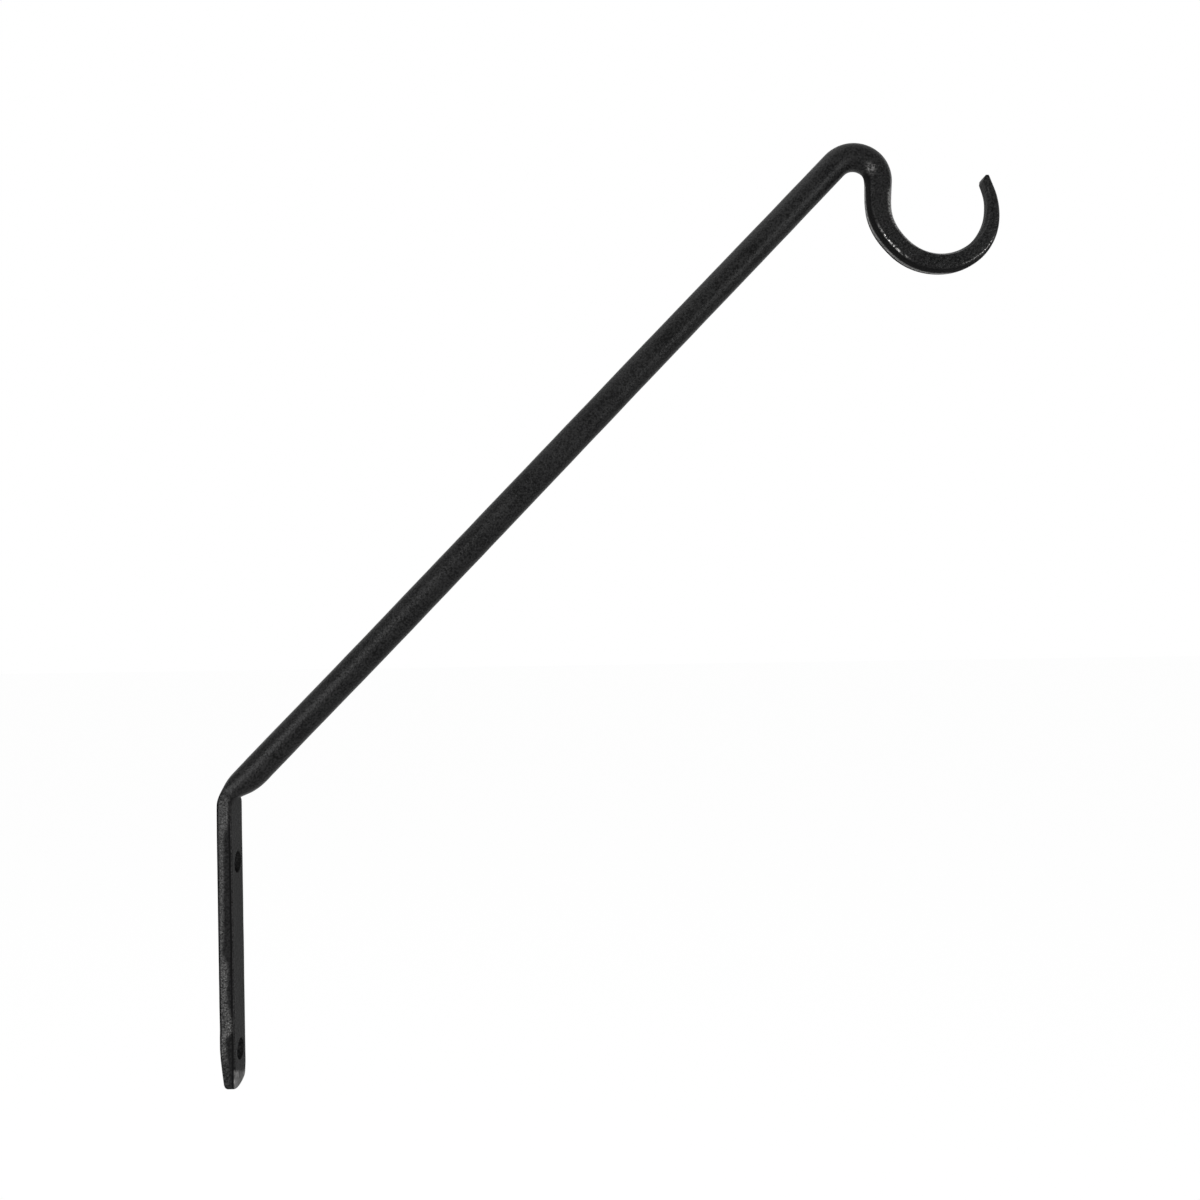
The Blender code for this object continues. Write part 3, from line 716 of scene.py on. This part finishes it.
def drill(height):
    """A turned shape that opens out at both mouths of the hole."""
    mouth = HOLE_RADIUS + MOUTH_BREAK + OVERRUN
    profile = [
        (-OVERRUN, 0.0),
        (-OVERRUN, mouth),
        (MOUTH_BREAK, HOLE_RADIUS),
        (STRAP_THICK - MOUTH_BREAK, HOLE_RADIUS),
        (STRAP_THICK + OVERRUN, mouth),
        (STRAP_THICK + OVERRUN, 0.0),
    ]
    turned = bmesh.new()
    corners = [turned.verts.new((place, size, height)) for place, size in profile]
    line = [turned.edges.new(pair) for pair in zip(corners, corners[1:])]
    bmesh.ops.spin(
        turned,
        geom=corners + line,
        cent=(0.0, 0.0, height),
        axis=(1.0, 0.0, 0.0),
        angle=2 * math.pi,
        steps=DRILL_SIDES,
        use_merge=True,
    )
    bmesh.ops.remove_doubles(turned, verts=turned.verts, dist=MOUTH_BREAK / 10)
    bmesh.ops.recalc_face_normals(turned, faces=turned.faces)
    shape = bpy.data.meshes.new("drill")
    turned.to_mesh(shape)
    turned.free()
    tool = bpy.data.objects.new("drill", shape)
    bpy.context.scene.collection.objects.link(tool)
    return tool


print("drill", 2 * HOLE_RADIUS, "m wide")

# %% Drill the two holes
SHARP_ANGLE = math.radians(34)

tools = [drill(height) for height in HOLE_HEIGHTS]
for tool in tools:
    cut = forging.modifiers.new("hole", "BOOLEAN")
    cut.object = tool
    cut.operation = "DIFFERENCE"
    cut.solver = "EXACT"
graph = bpy.context.evaluated_depsgraph_get()
drilled = bpy.data.meshes.new_from_object(forging.evaluated_get(graph))
forging.modifiers.clear()
forging.data = drilled
for tool in tools:
    bpy.data.objects.remove(tool, do_unlink=True)
drilled.shade_smooth()
drilled.set_sharp_from_angle(angle=SHARP_ANGLE)
print("faces after drilling", len(drilled.polygons))

# %% The coat inside the holes is dull, without any other mark
IN_HOLE_DULL = 1.0
ALLOWANCE = 1.01

place_of = np.array([corner.co[:] for corner in drilled.vertices])
in_hole = np.zeros(len(place_of), bool)
for height in HOLE_HEIGHTS:
    from_axis = np.hypot(place_of[:, 1], place_of[:, 2] - height)
    in_wall = from_axis < (HOLE_RADIUS + MOUTH_BREAK) * ALLOWANCE
    in_hole |= in_wall & (place_of[:, 0] < STRAP_THICK * ALLOWANCE)
for name in marks:
    values = np.zeros(len(place_of), np.float32)
    drilled.attributes[name].data.foreach_get("value", values)
    values[in_hole] = IN_HOLE_DULL if name == "dull_and_shade" else 0.0
    drilled.attributes[name].data.foreach_set("value", values)
print("points in the holes", int(in_hole.sum()))

# %% [markdown]
# ## The black coat
# The bracket is brushed in a thin satin black. It is a plain dark paint over iron, so the shader
# is not metallic. One flat black would look like plastic. In soft light the life of the real coat
# comes from small things: a fine grain and speckle all over, coarser and shinier grit where the
# hammer struck, and a roughness that rises where the coat is dull. So these are built from noise
# in the bracket's own measure. Bare iron shows through where the strap's end was filed. The same
# bare iron paints sheen, glints and a reflection elsewhere, and a darker colour paints shade where
# the dull mark runs past one.

# %% Coat material
COAT_DARK = (0.0006, 0.0006, 0.0007, 1)
COAT_LIGHT = (0.0140, 0.0140, 0.0141, 1)
# a darker coat colour that paints shade
COAT_PAINTED_SHADE = (0.0018, 0.0018, 0.0019, 1)
# colour of bare iron at the filed end, and of the painted glints, sheen and reflection
IRON_AND_SHEEN = (0.34, 0.335, 0.33, 1)
COAT_SPECULAR = 0.088

coat = bpy.data.materials.new("black_coat_on_iron")
coat.use_nodes = True
nodes, links = coat.node_tree.nodes, coat.node_tree.links
shader = nodes["Principled BSDF"]
shader.inputs["Specular IOR Level"].default_value = COAT_SPECULAR
place = nodes.new("ShaderNodeTexCoord")
print("material", coat.name)


# %% Read a mark and make a speckle
def mark(name):
    """The value of this name that was written on the mesh."""
    reader = nodes.new("ShaderNodeAttribute")
    reader.attribute_name = name
    return reader.outputs["Fac"]


def speckle(size, detail, vector=None):
    """A noise whose spots are about this size in metres."""
    spots = nodes.new("ShaderNodeTexNoise")
    spots.inputs["Scale"].default_value = 1 / size
    spots.inputs["Detail"].default_value = detail
    links.new(vector or place.outputs["Object"], spots.inputs["Vector"])
    return spots.outputs["Fac"]


# %% Work with values
def work_out(operation, first, second):
    """A sum, product or other working of two values, each a socket or a number."""
    step = nodes.new("ShaderNodeMath")
    step.operation = operation
    for socket, value in zip(step.inputs, (first, second)):
        if isinstance(value, (int, float)):
            socket.default_value = value
        else:
            links.new(value, socket)
    return step.outputs["Value"]


def spread(value, from_range, to_range=(0.0, 1.0)):
    """A value moved from one range to another, and held inside it."""
    ramp = nodes.new("ShaderNodeMapRange")
    sockets = ("From Min", "From Max", "To Min", "To Max")
    for socket, number in zip(sockets, (*from_range, *to_range)):
        ramp.inputs[socket].default_value = number
    links.new(value, ramp.inputs["Value"])
    return ramp.outputs["Result"]


# %% Painted glints and sheen, as bare iron in flecks
FLECK_SIZE, FLECKS_SHOW = 0.0010, (0.44, 0.60)
SHEEN_SPECK_SIZE, SHEEN_SPECKS_SHOW, PAINTED_SHEEN_LEVELS = 0.0007, (0.38, 0.66), (0.0, 0.95)

flecks = spread(speckle(FLECK_SIZE, detail=1.0), FLECKS_SHOW)
glint_as_iron = work_out("MULTIPLY", mark("painted_glint"), flecks)
sheen_specks = spread(speckle(SHEEN_SPECK_SIZE, detail=2.0), SHEEN_SPECKS_SHOW, PAINTED_SHEEN_LEVELS)
sheen_as_iron = work_out("MULTIPLY", mark("painted_sheen"), sheen_specks)
print("nodes for worn places", len(nodes))

# %% Bare iron where it was filed, in streaks
FILE_STREAK, FILE_LEAN = (0.0030, 0.0006, 0.0030), math.radians(25)
STREAKS_SHOW, FILED_SHEEN = (0.35, 0.65), (0.12, 0.72)

stretch = nodes.new("ShaderNodeMapping")
stretch.inputs["Scale"].default_value = [1 / size for size in FILE_STREAK]
stretch.inputs["Rotation"].default_value = (FILE_LEAN, 0, 0)
links.new(place.outputs["Object"], stretch.inputs["Vector"])
streaks = speckle(1.0, detail=2.0, vector=stretch.outputs["Vector"])
filed_bare = work_out("MULTIPLY", mark("filed"), spread(streaks, STREAKS_SHOW, FILED_SHEEN))
# bare iron where filed, together with the painted glints and sheen
bare_and_sheen = work_out("MAXIMUM", work_out("MAXIMUM", glint_as_iron, filed_bare), sheen_as_iron)
links.new(bare_and_sheen, shader.inputs["Metallic"])
print("nodes with the filed end", len(nodes))

# %% Colour of the coat
PATCH_SIZE, PATCH_RANGE, PATCH_TINT = 0.012, (0.3, 0.7), (-0.2, 0.2)
SPECK_SIZE, SPECK_RANGE = 0.0008, (0.35, 0.65)
PAINTED_SHADE_RANGE = (1.0, FULL_SHADE)


def blended(share, first, second):
    """A colour between two others, each a socket or four numbers."""
    mix = nodes.new("ShaderNodeMix")
    mix.data_type = "RGBA"
    links.new(share, mix.inputs["Factor"])
    for socket, colour in (("A", first), ("B", second)):
        if isinstance(colour, tuple):
            mix.inputs[socket].default_value = colour
        else:
            links.new(colour, mix.inputs[socket])
    return mix.outputs["Result"]


patches = speckle(PATCH_SIZE, detail=3.0)
specks = spread(speckle(SPECK_SIZE, detail=1.0), SPECK_RANGE)
tone = work_out("ADD", specks, spread(patches, PATCH_RANGE, PATCH_TINT))
speckled = blended(tone, COAT_DARK, COAT_LIGHT)
# where the dull mark runs from one to two, the colour darkens into painted shade
coloured = blended(spread(mark("dull_and_shade"), PAINTED_SHADE_RANGE), speckled, COAT_PAINTED_SHADE)
# bare iron colour where filed, and as painted glints and sheen
links.new(blended(bare_and_sheen, coloured, IRON_AND_SHEEN), shader.inputs["Base Color"])
print("nodes with the colour", len(nodes))

# %% Roughness of the coat
COAT_SATIN = (0.35, 0.43)
DULL_RISE, STRUCK_FALL = 0.30, 0.10

satin = spread(patches, PATCH_RANGE, COAT_SATIN)
roughness = work_out("ADD", satin, work_out("MULTIPLY", mark("dull_and_shade"), DULL_RISE))
roughness = work_out("SUBTRACT", roughness, work_out("MULTIPLY", mark("struck"), STRUCK_FALL))
links.new(roughness, shader.inputs["Roughness"])
print("nodes with the roughness", len(nodes))

# %% Grain and grit
GRAIN_SIZE, GRAIN_HEIGHT = 0.0010, 0.00020
GRIT_SIZE, GRIT_HEIGHT = 0.0012, 0.0006


def bump(height, distance, under=None):
    """Bumps of this height in metres, laid over other bumps where there are any."""
    bumps = nodes.new("ShaderNodeBump")
    bumps.inputs["Distance"].default_value = distance
    links.new(height, bumps.inputs["Height"])
    if under:
        links.new(under, bumps.inputs["Normal"])
    return bumps.outputs["Normal"]


grain = bump(speckle(GRAIN_SIZE, detail=2.0), GRAIN_HEIGHT)
struck_grit = work_out("MULTIPLY", speckle(GRIT_SIZE, detail=2.0), mark("struck"))
links.new(bump(struck_grit, GRIT_HEIGHT, grain), shader.inputs["Normal"])

drilled.materials.clear()
drilled.materials.append(coat)
print("coat nodes", len(nodes))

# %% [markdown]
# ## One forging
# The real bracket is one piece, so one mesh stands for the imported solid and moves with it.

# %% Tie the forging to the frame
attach(forging, "root")
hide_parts("bracket")
print("the forging stands for the packed bracket")

# %% [markdown]
# ## Floor and light
# The floor is a plain pale sheet below the bracket. Two soft lamps stand left and right of the
# camera, a weak one hangs above, and the room around is white. More light would whiten the
# background, but would bleach the bracket too. So rays from the camera, and mirrored ones, see
# the room and the floor as white paper, whatever light falls there.

# %% Rays that see white
def seen_white(nodes, links):
    """One for a ray from the camera, a mirrored ray or one through glass, and zero otherwise."""
    ray = nodes.new("ShaderNodeLightPath")
    seen = ray.outputs["Is Camera Ray"]
    for kind in ("Is Glossy Ray", "Is Transmission Ray"):
        either = nodes.new("ShaderNodeMath")
        either.operation = "MAXIMUM"
        links.new(seen, either.inputs[0])
        links.new(ray.outputs[kind], either.inputs[1])
        seen = either.outputs["Value"]
    return seen


# %% Floor
WHITE = (1, 1, 1, 1)
FLOOR_DROP, FLOOR_MIDDLE, FLOOR_SIZE = 0.20, 0.16, 12.0
FLOOR_COLOUR, FLOOR_ROUGHNESS = (0.82, 0.82, 0.82, 1), 0.9
FLOOR_WHITE_SHARE, FLOOR_GLOW = 0.92, 1.05

bpy.ops.mesh.primitive_plane_add(size=FLOOR_SIZE, location=(FLOOR_MIDDLE, 0, -FLOOR_DROP))
floor = bpy.context.object
floor.name = "floor"
paper = bpy.data.materials.new("pale_paper")
paper.use_nodes = True
nodes, links = paper.node_tree.nodes, paper.node_tree.links
sheet = nodes["Principled BSDF"]
sheet.inputs["Base Color"].default_value = FLOOR_COLOUR
sheet.inputs["Roughness"].default_value = FLOOR_ROUGHNESS
glow = nodes.new("ShaderNodeEmission")
glow.inputs["Color"].default_value = WHITE
glow.inputs["Strength"].default_value = FLOOR_GLOW
white_share = nodes.new("ShaderNodeMath")
white_share.operation = "MULTIPLY"
white_share.inputs[1].default_value = FLOOR_WHITE_SHARE
links.new(seen_white(nodes, links), white_share.inputs[0])
blend = nodes.new("ShaderNodeMixShader")
links.new(white_share.outputs["Value"], blend.inputs["Fac"])
links.new(sheet.outputs["BSDF"], blend.inputs[1])
links.new(glow.outputs["Emission"], blend.inputs[2])
links.new(blend.outputs["Shader"], nodes["Material Output"].inputs["Surface"])
floor.data.materials.append(paper)
print("floor", FLOOR_DROP, "m below the middle between the holes")

# %% White room
ROOM_LIGHT = 0.25

world = bpy.data.worlds.new("white_room")
bpy.context.scene.world = world
world.use_nodes = True
nodes, links = world.node_tree.nodes, world.node_tree.links
room = nodes["Background"]
room.inputs["Color"].default_value = WHITE
level = nodes.new("ShaderNodeMapRange")
level.inputs["To Min"].default_value = ROOM_LIGHT
level.inputs["To Max"].default_value = 1.0
links.new(seen_white(nodes, links), level.inputs["Value"])
links.new(level.outputs["Result"], room.inputs["Strength"])
print("room light", ROOM_LIGHT)

# %% Soft lamps
# where each lamp stands, its width and its power
LAMPS = {
    "left_softbox": ((-0.54, -0.96, -0.01), 0.70, 17.0),
    "right_softbox": ((1.05, -0.81, 0.06), 0.30, 5.4),
    "top_softbox": ((-0.15, -0.15, 1.10), 0.80, 3.4),
}
LAMP_AIM = Vector((0.163, 0.0, 0.15))

for name, (stands_at, size, power) in LAMPS.items():
    lamp = bpy.data.lights.new(name, "AREA")
    lamp.shape = "SQUARE"
    lamp.size = size
    lamp.energy = power
    stand = bpy.data.objects.new(name, lamp)
    bpy.context.scene.collection.objects.link(stand)
    stand.location = stands_at
    stand.rotation_euler = (LAMP_AIM - Vector(stands_at)).to_track_quat("-Z", "Y").to_euler()
print("lamps", len(LAMPS))

# %% [markdown]
# ## Last settings
# The view transform is plain, so a colour renders as it is written.

# %% Finish
bpy.context.scene.view_settings.view_transform = "Standard"
